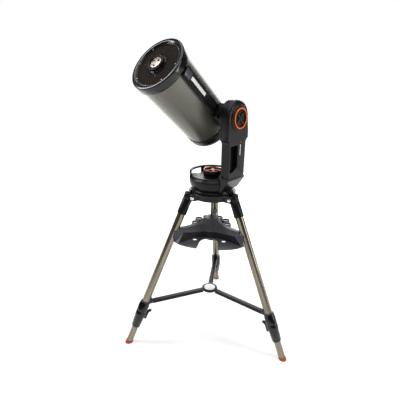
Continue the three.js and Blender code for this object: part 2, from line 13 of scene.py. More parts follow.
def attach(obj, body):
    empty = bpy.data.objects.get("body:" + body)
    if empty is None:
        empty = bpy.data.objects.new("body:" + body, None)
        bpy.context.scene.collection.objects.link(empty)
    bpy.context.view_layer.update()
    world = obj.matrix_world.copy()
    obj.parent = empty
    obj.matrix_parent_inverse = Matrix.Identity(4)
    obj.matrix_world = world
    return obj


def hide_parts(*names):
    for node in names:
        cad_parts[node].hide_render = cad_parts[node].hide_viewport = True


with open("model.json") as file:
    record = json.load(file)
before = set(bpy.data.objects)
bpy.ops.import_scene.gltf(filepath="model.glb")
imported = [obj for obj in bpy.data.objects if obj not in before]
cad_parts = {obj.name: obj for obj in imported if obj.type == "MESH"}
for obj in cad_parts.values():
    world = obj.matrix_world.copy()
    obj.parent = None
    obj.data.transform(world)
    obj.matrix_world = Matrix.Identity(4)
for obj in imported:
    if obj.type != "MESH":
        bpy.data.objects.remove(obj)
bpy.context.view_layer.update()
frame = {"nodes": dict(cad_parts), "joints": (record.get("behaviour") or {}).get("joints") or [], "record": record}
MM = 0.001
joints = {joint["name"]: joint for joint in frame["joints"]}
axis_x, axis_y = joints["azimuth_turn"]["pos_m"][:2]
altitude_z = joints["altitude_tilt"]["pos_m"][2]

# %% [markdown]
# Pieces are drawn where they are easy to draw, and then placed. Four places are enough: the
# azimuth axis, the altitude axis tipped with the tube, the tube's own axis, and one for each
# leg, which is drawn upright on its foot and leans in afterwards.
# %% Places to draw in
AZIMUTH = Matrix.Translation((axis_x, axis_y, 0))
TUBE_RISE = math.radians(39.1)
ALTITUDE_AXIS = Matrix.Translation((axis_x, axis_y, altitude_z))
TIPPED = ALTITUDE_AXIS @ Matrix.Rotation(math.pi / 2 - TUBE_RISE, 4, "X")
TUBE_OFFSET = -89
TUBE = TIPPED @ Matrix.Translation((TUBE_OFFSET * MM, 0, 0))
LEG_LEAN = math.atan2(315, 733)
feet = [Vector(mount["pos_m"]) for mount in frame["record"]["mounts"]]
LEG_TURNS = [math.atan2(foot.y - axis_y, foot.x - axis_x) for foot in feet]
FOOT_CIRCLE = 450
UPRIGHT_TO_SIDE = Matrix.Rotation(math.pi / 2, 4, "X")


def leg_place(turn):
    # a leg is drawn upright on its foot, moved out to the circle of feet and leaned in
    out = AZIMUTH @ Matrix.Rotation(turn, 4, "Z") @ Matrix.Translation((FOOT_CIRCLE * MM, 0, 0))
    return out @ Matrix.Rotation(-LEG_LEAN, 4, "Y")


print("legs at", [round(math.degrees(turn), 1) for turn in LEG_TURNS], "degrees")

# %% [markdown]
# The camera stands in front of the arm, a little above the tube's middle, and looks down on the
# object. It comes first, so that every later render is seen from the right side.
# %% Camera
CAMERA_FROM_AXIS = Vector((1.0292, -1.2729, 1.3137))
LOOK = Vector((-0.61825, 0.70504, -0.34740))
CAMERA_ROLL = 0.0141
camera_data = bpy.data.cameras.new("camera")
camera_data.lens = 31.77
camera_data.shift_x = 0.0031
camera_data.shift_y = 0.0073
camera = bpy.data.objects.new("camera", camera_data)
bpy.context.scene.collection.objects.link(camera)
bpy.context.scene.camera = camera
side = LOOK.cross(Vector((0, 0, 1))).normalized()
above = side.cross(LOOK).normalized()
right = side * math.cos(CAMERA_ROLL) + above * math.sin(CAMERA_ROLL)
up = above * math.cos(CAMERA_ROLL) - side * math.sin(CAMERA_ROLL)
turn = Matrix((right, up, -LOOK.normalized())).transposed().to_4x4()
camera.matrix_world = Matrix.Translation(Vector((axis_x, axis_y, 0)) + CAMERA_FROM_AXIS) @ turn
print("camera at", [round(v, 3) for v in camera.location])


# %% [markdown]
# Materials are small node graphs. Every colour is written as a screen colour and turned to the
# linear value the renderer needs, and one function adds a node, sets it and links it.
# %% Colour and node helpers
def linear(code):
    values = [int(code[i:i + 2], 16) / 255 for i in (1, 3, 5)]
    return [v / 12.92 if v < 0.04045 else ((v + 0.055) / 1.055) ** 2.4 for v in values] + [1]


def new_material(name):
    material = bpy.data.materials.new(name)
    material.use_nodes = True
    tree = material.node_tree
    return material, tree, tree.nodes["Principled BSDF"]


def add(tree, kind, settings=None, links=None, **attributes):
    # one node: attributes first, then socket values, then links given as (node, output) pairs
    item = tree.nodes.new(kind)
    for key, value in attributes.items():
        setattr(item, key, value)
    for socket, value in (settings or {}).items():
        item.inputs[socket].default_value = value
    for socket, (source, output) in (links or {}).items():
        tree.links.new(source.outputs[output], item.inputs[socket])
    return item


def own_place(tree):
    # the piece's own millimetre-true coordinates, stored before it was placed
    return add(tree, "ShaderNodeAttribute", attribute_name="own"), "Vector"


def world_place(tree):
    return add(tree, "ShaderNodeTexCoord"), "Object"


# %% [markdown]
# **Moulded and painted surfaces.** ABS mouldings come out of a textured tool, so they carry an
# even pebble grain about a millimetre across, and handling polishes it in soft patches. A powder
# coat is like it, with a rounder orange peel. One recipe serves both: a fine noise for the grain,
# a slow noise for the patches, and the shader's own numbers for the rest.
# %% Grained finish
def grained(name, shade, light, roughness, grain_mm, bump, shine=0.5, place=world_place):
    material, tree, shader = new_material(name)
    source = place(tree)
    grain = add(tree, "ShaderNodeTexNoise", {"Scale": 1 / (grain_mm * MM), "Detail": 3},
                {"Vector": source})
    patch = add(tree, "ShaderNodeTexNoise", {"Scale": 1 / (70 * MM), "Detail": 4}, {"Vector": source})
    colour = add(tree, "ShaderNodeValToRGB", None, {"Fac": (patch, "Fac")})
    colour.color_ramp.elements[0].position = 0.35
    colour.color_ramp.elements[0].color = linear(shade)
    colour.color_ramp.elements[1].position = 0.7
    colour.color_ramp.elements[1].color = linear(light)
    polish = add(tree, "ShaderNodeMapRange", {"To Min": roughness - 0.05, "To Max": roughness + 0.07},
                 {"Value": (patch, "Fac")})
    relief = add(tree, "ShaderNodeBump", {"Strength": bump, "Distance": 0.12 * MM},
                 {"Height": (grain, "Fac")})
    tree.links.new(colour.outputs["Color"], shader.inputs["Base Color"])
    tree.links.new(polish.outputs["Result"], shader.inputs["Roughness"])
    tree.links.new(relief.outputs["Normal"], shader.inputs["Normal"])
    shader.inputs["Specular IOR Level"].default_value = shine
    return material


# covers and sleeves: deep black with a soft, broken sheen
ABS_BLACK = grained("abs_black_moulded", "#08080a", "#0f0f12", 0.33, 1.1, 0.35, 0.22)
# bezel, clamps and levers: black with sharp, narrow highlights
ABS_GLOSS = grained("abs_black_polished", "#08080a", "#0e0e11", 0.16, 1.6, 0.1, 0.42)
# castings and struts: black with a rounder, wavier sheen
POWDER_BLACK = grained("powder_coat_black", "#08080a", "#0f0f12", 0.27, 1.8, 0.3, 0.24)
# tray: slate grey that stays dull from every side
NYLON_GREY = grained("glass_filled_nylon_slate", "#3c3d43", "#4b4c53", 0.42, 1.3, 0.45, 0.4)
# feet: burnt orange with no shine
RUBBER_ORANGE = grained("rubber_orange", "#a94310", "#bd5218", 0.62, 1.4, 0.4)
# knob rings and status light: the brightest colour on the object
TRIM_ORANGE = grained("abs_orange_trim", "#da5400", "#e66202", 0.36, 1.5, 0.12, 0.2)
# blank labels and badge: pale, even patches on the black
LABEL_WHITE = grained("vinyl_white_blank", "#c9c9c7", "#d8d8d6", 0.45, 1.5, 0.08)
BADGE_WHITE = grained("enamel_white_blank", "#ececea", "#f6f6f4", 0.35, 1.5, 0.08)
# the tray's step: painted shade, a dark line painted under the skirt where its shadow falls
STEP_PAINTED_SHADE = grained("painted_shade_tray_step", "#151517", "#1d1d20", 0.6, 1.3, 0.3, 0.2)
# grey plate and clamp lips: one tone lighter than the parts they lie on
LABEL_GREY = grained("vinyl_grey_blank", "#2f3035", "#3d3e44", 0.3, 1.5, 0.08)
# inside of the tube: swallows the light
FLOCK_BLACK = grained("flat_black_lining", "#0c0c0c", "#151413", 0.85, 1.0, 0.4)


# %% [markdown]
# **Drawn stainless tube.** The legs are drawn and brushed along their length, so the scratches run
# up and down the tube and the light stretches across it. The scratches here are noise squeezed
# hard round the tube and long along it, read from the piece's own coordinates.
# %% Brushed and turned metal
def brushed(name, shade, light, roughness, across_mm, along_mm, bump, place=own_place):
    material, tree, shader = new_material(name)
    shader.inputs["Metallic"].default_value = 1.0
    stretch = add(tree, "ShaderNodeMapping", None, {"Vector": place(tree)})
    stretch.inputs["Scale"].default_value = (1 / across_mm, 1 / across_mm, 1 / along_mm)
    streak = add(tree, "ShaderNodeTexNoise", {"Scale": 1000.0, "Detail": 5, "Roughness": 0.65},
                 {"Vector": (stretch, "Vector")})
    colour = add(tree, "ShaderNodeValToRGB", None, {"Fac": (streak, "Fac")})
    colour.color_ramp.elements[0].position = 0.3
    colour.color_ramp.elements[0].color = linear(shade)
    colour.color_ramp.elements[1].position = 0.72
    colour.color_ramp.elements[1].color = linear(light)
    gloss = add(tree, "ShaderNodeMapRange", {"To Min": roughness - 0.08, "To Max": roughness + 0.1},
                {"Value": (streak, "Fac")})
    relief = add(tree, "ShaderNodeBump", {"Strength": bump, "Distance": 0.05 * MM},
                 {"Height": (streak, "Fac")})
    tree.links.new(colour.outputs["Color"], shader.inputs["Base Color"])
    tree.links.new(gloss.outputs["Result"], shader.inputs["Roughness"])
    tree.links.new(relief.outputs["Normal"], shader.inputs["Normal"])
    return material


# legs: warm grey with long bright streaks down the tube
LEG_STEEL = brushed("stainless_drawn_tube", "#585246", "#a39a87", 0.2, 4.5, 220, 0.5)
# bolt heads and the threaded ring: small bright points
BRIGHT_STEEL = brushed("steel_turned_bright", "#b5b5b3", "#dcdcda", 0.24, 6, 1, 0.3)
# screws, pins, the shaft and the drives: plain, slightly dull metal
PLAIN_STEEL = brushed("steel_plain", "#9c9c9a", "#c4c4c2", 0.32, 4, 4, 0.3, world_place)
# worm wheels, inside the mount
BRONZE = brushed("bronze_cut", "#8a6428", "#b88c44", 0.35, 4, 4, 0.3, world_place)
# secondary cover: a warm pale disc in the dark glass
COVER_METAL = brushed("aluminium_polished_warm", "#7d726a", "#b5a79c", 0.3, 5, 5, 0.2)


# %% [markdown]
# **Tube lacquer.** The tube is aluminium under a warm grey metallic lacquer: tiny flakes under a
# clear coat. The flakes are Voronoi cells that shift the colour and tilt the surface a little, and
# the clear coat is the shader's own, so it stays a plain number.
# %% Lacquer, glass and mirror
def metallic_lacquer(name):
    material, tree, shader = new_material(name)
    source = own_place(tree)
    flake = add(tree, "ShaderNodeTexVoronoi", {"Scale": 1 / (0.9 * MM)}, {"Vector": source})
    slow = add(tree, "ShaderNodeTexNoise", {"Scale": 1 / (120 * MM), "Detail": 3}, {"Vector": source})
    fleck = add(tree, "ShaderNodeHueSaturation", {"Saturation": 0.15, "Value": 0.3},
                {"Color": (flake, "Color")})
    tone = add(tree, "ShaderNodeMix", {"Factor": 0.12}, data_type="RGBA")
    tree.links.new(fleck.outputs["Color"], tone.inputs["B"])
    base = add(tree, "ShaderNodeValToRGB", None, {"Fac": (slow, "Fac")})
    base.color_ramp.elements[0].color = linear("#545249")
    base.color_ramp.elements[1].color = linear("#636156")
    tree.links.new(base.outputs["Color"], tone.inputs["A"])
    relief = add(tree, "ShaderNodeBump", {"Strength": 0.05, "Distance": 0.03 * MM},
                 {"Height": (flake, "Distance")})
    tree.links.new(tone.outputs["Result"], shader.inputs["Base Color"])
    tree.links.new(relief.outputs["Normal"], shader.inputs["Normal"])
    shader.inputs["Metallic"].default_value = 0.7
    shader.inputs["Roughness"].default_value = 0.38
    shader.inputs["Coat Weight"].default_value = 0.2
    shader.inputs["Coat Roughness"].default_value = 0.15
    return material


# the long tube: a warm grey that turns from dark to light round the curve
LACQUER = metallic_lacquer("metallic_lacquer_warm_grey")


def coated_glass(name):
    # optical glass with an anti-reflection coat: nearly clear, with a faint even haze of dust
    material, tree, shader = new_material(name)
    dust = add(tree, "ShaderNodeTexNoise", {"Scale": 1 / (30 * MM), "Detail": 5},
               {"Vector": own_place(tree)})
    haze = add(tree, "ShaderNodeMapRange", {"To Min": 0.02, "To Max": 0.09}, {"Value": (dust, "Fac")})
    tree.links.new(haze.outputs["Result"], shader.inputs["Roughness"])
    shader.inputs["Base Color"].default_value = linear("#3a332d")
    shader.inputs["Alpha"].default_value = 0.3
    shader.inputs["IOR"].default_value = 1.45
    return material


def silvered(name):
    material, tree, shader = new_material(name)
    film = add(tree, "ShaderNodeTexNoise", {"Scale": 1 / (50 * MM)}, {"Vector": world_place(tree)})
    haze = add(tree, "ShaderNodeMapRange", {"To Min": 0.01, "To Max": 0.05}, {"Value": (film, "Fac")})
    tree.links.new(haze.outputs["Result"], shader.inputs["Roughness"])
    shader.inputs["Base Color"].default_value = linear("#f2f2f4")
    shader.inputs["Metallic"].default_value = 1.0
    return material


# corrector plate: a brown-black window with a faint haze
CORRECTOR = coated_glass("coated_optical_glass")
# both mirrors: clean silver
MIRROR = silvered("aluminised_mirror")
print(len(bpy.data.materials), "materials")


# %% [markdown]
# Round pieces are spun from half an outline, square ones start as a cube, and flat ones are an
# outline with a depth. Each helper returns a bmesh in millimetres, so that several can be joined
# in one piece before it is placed.
# %% Shape helpers
def spun(profile, sides=96):
    # radius and height pairs; an outline off the axis is closed into a ring
    shape = bmesh.new()
    corners = [shape.verts.new((r, 0, z)) for r, z in profile]
    loop = corners if profile[0][0] == 0 else corners + corners[:1]
    for first, second in zip(loop, loop[1:]):
        shape.edges.new((first, second))
    bmesh.ops.spin(shape, geom=shape.verts[:] + shape.edges[:], cent=(0, 0, 0), axis=(0, 0, 1),
                   angle=2 * math.pi, steps=sides, use_merge=True)
    bmesh.ops.remove_doubles(shape, verts=shape.verts, dist=1e-4)
    bmesh.ops.recalc_face_normals(shape, faces=shape.faces)
    return shape


def slab(x, y, z, round_mm=0.0):
    shape = bmesh.new()
    bmesh.ops.create_cube(shape, size=1)
    size = Vector((x[1] - x[0], y[1] - y[0], z[1] - z[0]))
    middle = Vector((x[0] + x[1], y[0] + y[1], z[0] + z[1])) / 2
    bmesh.ops.scale(shape, vec=size, verts=shape.verts)
    bmesh.ops.translate(shape, vec=middle, verts=shape.verts)
    if round_mm:
        bmesh.ops.bevel(shape, geom=shape.edges[:], offset=round_mm, segments=3, profile=0.5,
                        affect="EDGES", material=-1)
    return shape


def prism(points, depth, round_mm=0.0):
    # a flat outline in X and Y, raised along Z
    shape = bmesh.new()
    face = shape.faces.new([shape.verts.new((x, y, 0)) for x, y in points])
    raised = bmesh.ops.extrude_face_region(shape, geom=[face])
    tops = [v for v in raised["geom"] if isinstance(v, bmesh.types.BMVert)]
    bmesh.ops.translate(shape, vec=(0, 0, depth), verts=tops)
    bmesh.ops.recalc_face_normals(shape, faces=shape.faces)
    if round_mm:
        bmesh.ops.bevel(shape, geom=shape.edges[:], offset=round_mm, segments=2, profile=0.5,
                        affect="EDGES", material=-1)
    return shape


def moved(shape, matrix):
    bmesh.ops.transform(shape, matrix=matrix, verts=shape.verts)
    return shape


def shifted(shape, x=0, y=0, z=0):
    return moved(shape, Matrix.Translation((x, y, z)))


def together(*shapes):
    whole = bmesh.new()
    for shape in shapes:
        carrier = bpy.data.meshes.new("carrier")
        shape.to_mesh(carrier)
        whole.from_mesh(carrier)
        shape.free()
        bpy.data.meshes.remove(carrier)
    return whole


def ring_of(count, make, radius, start=0.0):
    # copies of a small shape round the Z axis
    copies = []
    for i in range(count):
        turn_z = Matrix.Rotation(start + i * 2 * math.pi / count, 4, "Z")
        copies.append(moved(make(), turn_z @ Matrix.Translation((radius, 0, 0))))
    return copies


# %% [markdown]
# A finished shape becomes a piece: its own coordinates are stored for the brushed and lacquered
# patterns, it is put in place, its edges get a small round, and it is told which body carries it,
# which slot colours it and which CAD node it stands for.
# %% From shape to piece
def finish_piece(mesh_object, body, nodes, round_mm, smooth_angle):
    mesh_object.data.set_sharp_from_angle(angle=math.radians(smooth_angle))
    if round_mm:
        bevel = mesh_object.modifiers.new("edge_round", "BEVEL")
        bevel.width = round_mm * MM
        bevel.segments = 2
        bevel.limit_method = "ANGLE"
        bevel.angle_limit = math.radians(34)
        bevel.use_clamp_overlap = True
        bevel.harden_normals = False
    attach(mesh_object, body)
    if nodes:
        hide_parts(*nodes)
    return mesh_object


def piece(name, shape, place, body, material, nodes=(), round_mm=0.0, smooth_angle=34):
    own = shape.verts.layers.float_vector.new("own")
    for vert in shape.verts:
        vert[own] = vert.co * MM
    moved(shape, place @ Matrix.Scale(MM, 4))
    for face in shape.faces:
        face.smooth = True
    mesh = bpy.data.meshes.new(name)
    shape.to_mesh(mesh)
    shape.free()
    mesh_object = bpy.data.objects.new(name, mesh)
    bpy.context.scene.collection.objects.link(mesh_object)
    mesh.materials.append(material)
    return finish_piece(mesh_object, body, nodes, round_mm, smooth_angle)


body_of_node = {n: b for b, names in frame["record"]["behaviour"]["bodies"].items() for n in names}


def dressed(node, material, round_mm=0.8, smooth_angle=34, flat_angle=1.5):
    # the CAD casting itself, with its loose triangles merged and its edges rounded
    source = frame["nodes"][node]
    shape = bmesh.new()
    shape.from_mesh(source.data)
    bmesh.ops.remove_doubles(shape, verts=shape.verts, dist=0.005 * MM)
    bmesh.ops.dissolve_limit(shape, angle_limit=math.radians(flat_angle), verts=shape.verts,
                             edges=shape.edges)
    own = shape.verts.layers.float_vector.new("own")
    for vert in shape.verts:
        vert[own] = vert.co
    for face in shape.faces:
        face.smooth = True
    mesh = bpy.data.meshes.new(node + "_skin")
    shape.to_mesh(mesh)
    shape.free()
    mesh_object = bpy.data.objects.new(node + "_skin", mesh)
    bpy.context.scene.collection.objects.link(mesh_object)
    mesh.materials.append(material)
    return finish_piece(mesh_object, body_of_node[node], [node], round_mm, smooth_angle)


def widely_rounded(mesh_object, chosen, width_mm, segments):
    # rounds the chosen sharp edges of a finished piece more than the rest
    shape = bmesh.new()
    shape.from_mesh(mesh_object.data)
    edges = [edge for edge in shape.edges if len(edge.link_faces) == 2 and edge.calc_face_angle(0) > 0.6
             and chosen(*[vert.co for vert in edge.verts])]
    bmesh.ops.bevel(shape, geom=edges, offset=width_mm * MM, segments=segments, profile=0.5,
                    affect="EDGES", material=-1)
    for face in shape.faces:
        face.smooth = True
    shape.to_mesh(mesh_object.data)
    shape.free()
    print("rounded", len(edges), "edges of", mesh_object.name, "by", width_mm, "mm")


def kept(node, material):
    # a CAD node that is right as it is, and only needs its finish
    slots = frame["nodes"][node].data.materials
    slots.clear()
    slots.append(material)


# %% [markdown]
# **Legs.** Each leg is two drawn tubes: the upper one stands in the sleeve and the clamp, the inner
# one slides out of the clamp and ends in an orange rubber cup. Tubes are spun as rings so that
# their ends are open, as real tube is.
# %% Leg tubes and feet
LEG_R, LEG_BORE = 19, 17
INNER_R, INNER_BORE = 16, 14.5
INNER_BOTTOM, INNER_TOP = 6.3, 380
SHOULDER, CLAMP_TOP, CLAMP_BOTTOM = 200, 246, 98
SLEEVE_BOTTOM, SLEEVE_SEAT, SLEEVE_TOP, SLEEVE_R = 735, 800, 849, 23
LEG_SIDES = 64


def tube_shape(outer, bore, low, high):
    return spun([(bore, low + 0.6), (outer - 0.5, low), (outer, low + 0.5), (outer, high - 0.5),
                 (outer - 0.5, high), (bore, high - 0.6)], LEG_SIDES)


def foot_shape():
    # the cup is cut level, because it stands on the floor while the leg leans
    cup = spun([(0, -10), (17, -10), (18, -8.6), (18, 6.5), (17.7, 7.6), (18.3, 8.4), (18.3, 10.6),
                (17.6, 11.8), (16.6, 12), (16.4, 11), (16.4, 6), (0, 6)], LEG_SIDES)
    floor_up = Matrix.Rotation(LEG_LEAN, 3, "Y") @ Vector((0, 0, 1))
    geometry = cup.verts[:] + cup.edges[:] + cup.faces[:]
    bmesh.ops.bisect_plane(cup, geom=geometry, plane_co=(0, 0, 0), plane_no=floor_up, clear_inner=True)
    bmesh.ops.holes_fill(cup, edges=[e for e in cup.edges if e.is_boundary])
    return cup


for number, leg_turn in enumerate(LEG_TURNS, 1):
    place = leg_place(leg_turn)
    slider = f"leg_extension_{number}"
    piece(f"upper_tube_{number}", tube_shape(LEG_R, LEG_BORE, SHOULDER, SLEEVE_SEAT), place, "tripod",
          LEG_STEEL, [f"leg_tube_{number}"])
    piece(f"sliding_tube_{number}", tube_shape(INNER_R, INNER_BORE, INNER_BOTTOM, INNER_TOP), place,
          slider, LEG_STEEL, [f"leg_inner_tube_{number}"])
    piece(f"foot_cup_{number}", foot_shape(), place, slider, RUBBER_ORANGE,
          [f"foot_{number}"], 0.4)
print("three legs, tubes", SLEEVE_SEAT - SHOULDER, "mm long")

# %% [markdown]
# **Leg castings.** The sleeve at the top and the stepped clamp lower down are black mouldings. The
# clamp has a pale lip where the upper tube enters, raised bands, a boss for the spreader strut and
# two ears for the lock lever. Bands and lip are in the spun outline, so they catch real light.
# The lever's heel is cut back, so that it clears the clamp when the lever swings open.
# %% Sleeves, clamps, levers and pivot bolts
CLAMP_BORE, SLIDE_BORE = LEG_R + 0.4, INNER_R + 0.3
STRUT_END = 318
EAR_APART, EAR_HALF = 8, 2.5
LEVER_WIDTH = 10.2
PIN_IN, PIN_HEIGHT, PIN_R, PIN_HALF = -31.2, 159, 2.4, 10.4
PIVOT_CIRCLE, PIVOT_HEIGHT, PIVOT_R, LUG_HALF = 119, 757, 5, 33.5


def sleeve_shape():
    groove, seat = SLEEVE_BOTTOM + 74, SLEEVE_SEAT + 0.3
    return spun([(19.3, SLEEVE_BOTTOM + 1), (21.8, SLEEVE_BOTTOM), (SLEEVE_R, SLEEVE_BOTTOM + 1.2),
                 (SLEEVE_R, groove), (SLEEVE_R - 1, groove + 1.5), (SLEEVE_R - 1, groove + 4),
                 (SLEEVE_R, groove + 5.5), (SLEEVE_R, SLEEVE_TOP - 12), (SLEEVE_R - 2, SLEEVE_TOP - 6),
                 (SLEEVE_R - 6, SLEEVE_TOP - 2), (SLEEVE_R - 12, SLEEVE_TOP), (0, SLEEVE_TOP), (0, seat),
                 (19.3, seat)], LEG_SIDES)


def clamp_body():
    # from the narrow collar at the bottom, up over the bands, and down again inside
    top = CLAMP_TOP - 0.6
    return spun([(SLIDE_BORE, CLAMP_BOTTOM), (18.6, CLAMP_BOTTOM), (20.6, CLAMP_BOTTOM + 2), (22, 106),
                 (22.4, 122), (23.6, 124), (23.8, 150), (25.4, 160), (26.3, 168), (26.3, 186),
                 (25.3, 187.5), (25.3, 191), (26.5, 192.5), (26.5, 226), (25.2, 228), (25.2, 236),
                 (24, 238), (24, 244), (22.8, top), (CLAMP_BORE, top), (CLAMP_BORE, SHOULDER),
                 (SLIDE_BORE, SHOULDER)], LEG_SIDES)


def clamp_boss():
    # the strut is level, so its boss is turned back by the leg's lean
    inner, outer = STRUT_END + 0.5 - FOOT_CIRCLE, STRUT_END + 34 - FOOT_CIRCLE
    return moved(slab((inner, outer), (-13.6, 13.6), (210.4, 235.6), 2.5), Matrix.Rotation(LEG_LEAN, 4, "Y"))


def clamp_ear(side):
    middle = side * EAR_APART
    return slab((-36, -20), (middle - EAR_HALF, middle + EAR_HALF), (150, 172), 1.6)


def lever_shape():
    side_line = [(-37, 155), (-31, 155), (-28.6, 160), (-27.9, 168), (-29, 182), (-32.5, 193), (-38, 200),
                 (-46, 203), (-50, 201), (-50, 192), (-45, 190), (-41, 184), (-38.5, 172)]
    lever = moved(prism(side_line, LEVER_WIDTH, 0.9), UPRIGHT_TO_SIDE)
    return shifted(lever, 0, LEVER_WIDTH / 2, 0)


def lever_pin():
    pin = spun([(0, -PIN_HALF), (PIN_R, -PIN_HALF), (PIN_R, PIN_HALF), (0, PIN_HALF)], 24)
    return shifted(moved(pin, UPRIGHT_TO_SIDE), PIN_IN, 0, PIN_HEIGHT)


def pivot_bolt():
    # a shank through the lugs with a domed cap at each end
    shank = spun([(0, -LUG_HALF), (PIVOT_R, -LUG_HALF), (PIVOT_R, LUG_HALF), (0, LUG_HALF)], 32)
    dome = [(9, LUG_HALF), (9, 36), (7.8, 38), (4.5, 39), (0, 39)]
    front_cap = spun([(0, LUG_HALF)] + dome, 48)
    back_cap = spun([(0, -LUG_HALF)] + [(r, -z) for r, z in dome], 48)
    bolt = moved(together(shank, front_cap, back_cap), Matrix.Rotation(-math.pi / 2, 4, "X"))
    return shifted(bolt, PIVOT_CIRCLE, 0, PIVOT_HEIGHT)


for number, leg_turn in enumerate(LEG_TURNS, 1):
    place = leg_place(leg_turn)
    piece(f"top_sleeve_{number}", sleeve_shape(), place, "tripod", ABS_BLACK,
          [f"leg_sleeve_{number}"], 0.5)
    clamp = together(clamp_body(), clamp_boss(), clamp_ear(-1), clamp_ear(1))
    piece(f"lock_clamp_{number}", clamp, place, "tripod", ABS_GLOSS,
          [f"leg_clamp_{number}"], 0.5)
    lip = spun([(CLAMP_BORE, CLAMP_TOP - 1.8), (23.4, CLAMP_TOP - 1.8), (23, CLAMP_TOP),
                (CLAMP_BORE, CLAMP_TOP)], LEG_SIDES)
    piece(f"clamp_lip_{number}", lip, place, "tripod", LABEL_GREY, (), 0.3)
    piece(f"lock_handle_{number}", lever_shape(), place, f"lock_lever_{number}", ABS_GLOSS,
          [f"leg_lever_{number}"])
    piece(f"lever_pin_{number}", lever_pin(), place, "tripod", PLAIN_STEEL)
    piece(f"pivot_bolt_{number}", pivot_bolt(), AZIMUTH @ Matrix.Rotation(leg_turn, 4, "Z"), "tripod",
          BRIGHT_STEEL, [f"leg_pivot_bolt_{number}"], 0.3)
print("sleeve, clamp, lever and pivot bolt on", len(LEG_TURNS), "legs")

# %% [markdown]
# **Spreader.** Three struts run from the clamps to a flat round hub with a blank white disc on it.
# A strut is folded from sheet, so it is an open channel with a rolled edge: an inverted U drawn as
# an outline and raised along its length.
# %% Struts and hub
HUB_TOP, HUB_R, BADGE_R = 224, 41, 29
STRUT_HALF, STRUT_WALL, STRUT_ROLL = 12, 2.2, 2
STRUT_TOP, STRUT_BOTTOM = HUB_TOP + 0.8, HUB_TOP - 15
OUTLINE_ALONG_X = Matrix(((0, 0, 1, 0), (1, 0, 0, 0), (0, 1, 0, 0), (0, 0, 0, 1)))


def channel(low, high):
    # right half of the folded sheet, outside then inside; the left half mirrors it
    inside, under = STRUT_HALF - STRUT_WALL, STRUT_TOP - STRUT_WALL
    outer = [(STRUT_HALF - STRUT_ROLL, STRUT_TOP), (STRUT_HALF, STRUT_TOP - STRUT_ROLL),
             (STRUT_HALF, STRUT_BOTTOM)]
    inner = [(inside, STRUT_BOTTOM), (inside, under)]
    mirrored = [(-y, z) for y, z in outer[::-1]]
    inner_mirrored = [(-y, z) for y, z in inner[::-1]]
    strut = prism(mirrored + outer + inner + inner_mirrored, high - low)
    return shifted(moved(strut, OUTLINE_ALONG_X), low, 0, 0)


def strut_bolt():
    return spun([(0, HUB_TOP - 18), (5.5, HUB_TOP - 18), (6.5, HUB_TOP - 16.5), (6.5, HUB_TOP - 14),
                 (3, HUB_TOP - 13), (3, HUB_TOP), (0, HUB_TOP)], 32)


for number, leg_turn in enumerate(LEG_TURNS, 1):
    place = AZIMUTH @ Matrix.Rotation(leg_turn, 4, "Z")
    bolts = [shifted(strut_bolt(), reach, 0, 0) for reach in (HUB_R + 14, STRUT_END - 34, STRUT_END - 12)]
    piece(f"strut_channel_{number}", channel(HUB_R + 0.3, STRUT_END), place, "tripod",
          POWDER_BLACK, [f"spreader_strut_{number}"], 0.5)
    piece(f"strut_bolts_{number}", together(*bolts), place, "tripod", POWDER_BLACK, (), 0.3)

hub = spun([(0, HUB_TOP - 12), (36, HUB_TOP - 12), (39.5, HUB_TOP - 10.5), (HUB_R, HUB_TOP - 8),
            (HUB_R, HUB_TOP - 2.5), (HUB_R - 1.2, HUB_TOP - 0.6), (HUB_R - 3, HUB_TOP),
            (BADGE_R + 1.5, HUB_TOP), (BADGE_R + 1, HUB_TOP - 0.8), (0, HUB_TOP - 0.8)])
piece("hub_disc", hub, AZIMUTH, "tripod", ABS_BLACK, ["spreader_hub"], 0.3)
badge = spun([(0, HUB_TOP - 0.7), (BADGE_R, HUB_TOP - 0.7), (BADGE_R, HUB_TOP + 0.6),
              (BADGE_R - 1, HUB_TOP + 1), (0, HUB_TOP + 1)])
piece("hub_badge", badge, AZIMUTH, "tripod", BADGE_WHITE)
print("struts", STRUT_END - HUB_R, "mm long round a", 2 * HUB_R, "mm hub")

# %% [markdown]
# **Tripod head and tray.** The head is a casting with a machined upper rim. The tray is one nylon
# moulding with three ridges, pulled up against the legs by a hand nut. Both keep their CAD surfaces, which
# already have the true curves; merging their triangles lets the light run smoothly over them.
# The step of the tray is coloured dark as painted shade, and the hollows of its eyepiece rests are coloured glossy
# black as painted shade.
# %% Head, centre rod, tray and nut
dressed("tripod_head", POWDER_BLACK, 0.9)
tray = dressed("accessory_tray", NYLON_GREY, 1.2, 40, 0.4)
# two more slots for painted shade: dark grey on the step, glossy black in the rests' hollows
tray.data.materials.append(STEP_PAINTED_SHADE)
tray.data.materials.append(ABS_GLOSS)
STEP_LOW, STEP_HIGH, STEEP = 554, 579, 0.45
REST_TOP, REST_CIRCLE, REST_R, REST_SPREAD = 606, 80, 20.4, 36
BACK_SECTORS = (60, 180)


def rest_axes():
    # three eyepiece rests in each of the two back sectors
    for sector in BACK_SECTORS:
        for spread in (-REST_SPREAD, 0, REST_SPREAD):
            turn = LEG_TURNS[0] + math.radians(sector + spread)
            spoke = Vector((math.cos(turn), math.sin(turn)))
            yield Vector((axis_x, axis_y)) + spoke * REST_CIRCLE * MM


def on_rest(place):
    near = min((place.xy - axis).length for axis in rest_axes())
    return near < REST_R * MM and place.z < (REST_TOP - 0.5) * MM


# painted shade: the faces inside the rests' hollows are coloured glossy black, standing for the shade in them
for face in tray.data.polygons:
    if on_rest(face.center):
        face.material_index = 2
    # painted shade: the steep faces of the step are coloured dark, where the skirt's shadow falls
    elif STEP_LOW * MM < face.center.z < STEP_HIGH * MM and abs(face.normal.z) < STEEP:
        face.material_index = 1
kept("centre_rod", POWDER_BLACK)


NUT_BOTTOM, NUT_TOP, NUT_R, NUT_RIBS = 517, 545, 28.3, 20


def nut_rib():
    return slab((-2.2, 2.2), (-2.4, 2.4), (NUT_BOTTOM + 1, NUT_TOP - 2), 1.4)


